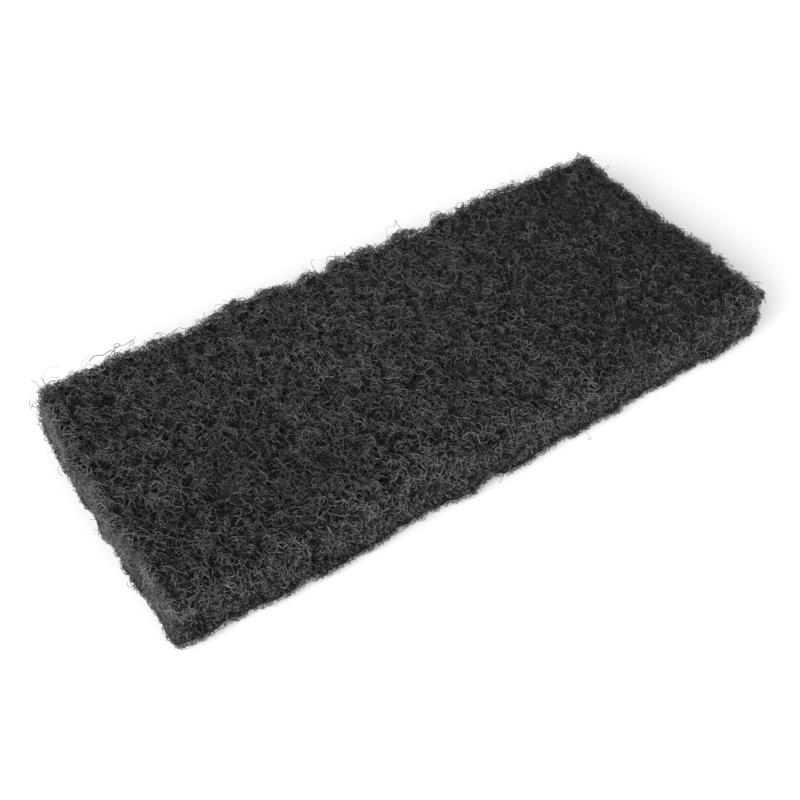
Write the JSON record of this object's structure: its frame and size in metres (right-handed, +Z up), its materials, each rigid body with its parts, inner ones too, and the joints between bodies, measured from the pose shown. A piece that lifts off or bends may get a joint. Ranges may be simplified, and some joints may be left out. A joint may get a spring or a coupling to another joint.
{
  "type": "abrasive hand pad",
  "caption": "Rectangular hand-held scouring pad of black non-woven fibre web, open and tufted on both faces, with rough cut edges, for scrubbing and sanding by hand.",
  "frame": {"origin": "centre of the underside, on the surface that the pad lies on", "axes": "+X along the length, +Y across the width, +Z up through the thickness, out of the upper face"},
  "size_m": [0.2496, 0.1098, 0.025],
  "materials": {
    "nonwoven_web": "dull black crimped nylon fibre, bonded with resin and abrasive grain, open and curly"
  },
  "bodies": {
    "root": {"abrasive_pad": "nonwoven_web"}
  },
  "joints": []
}
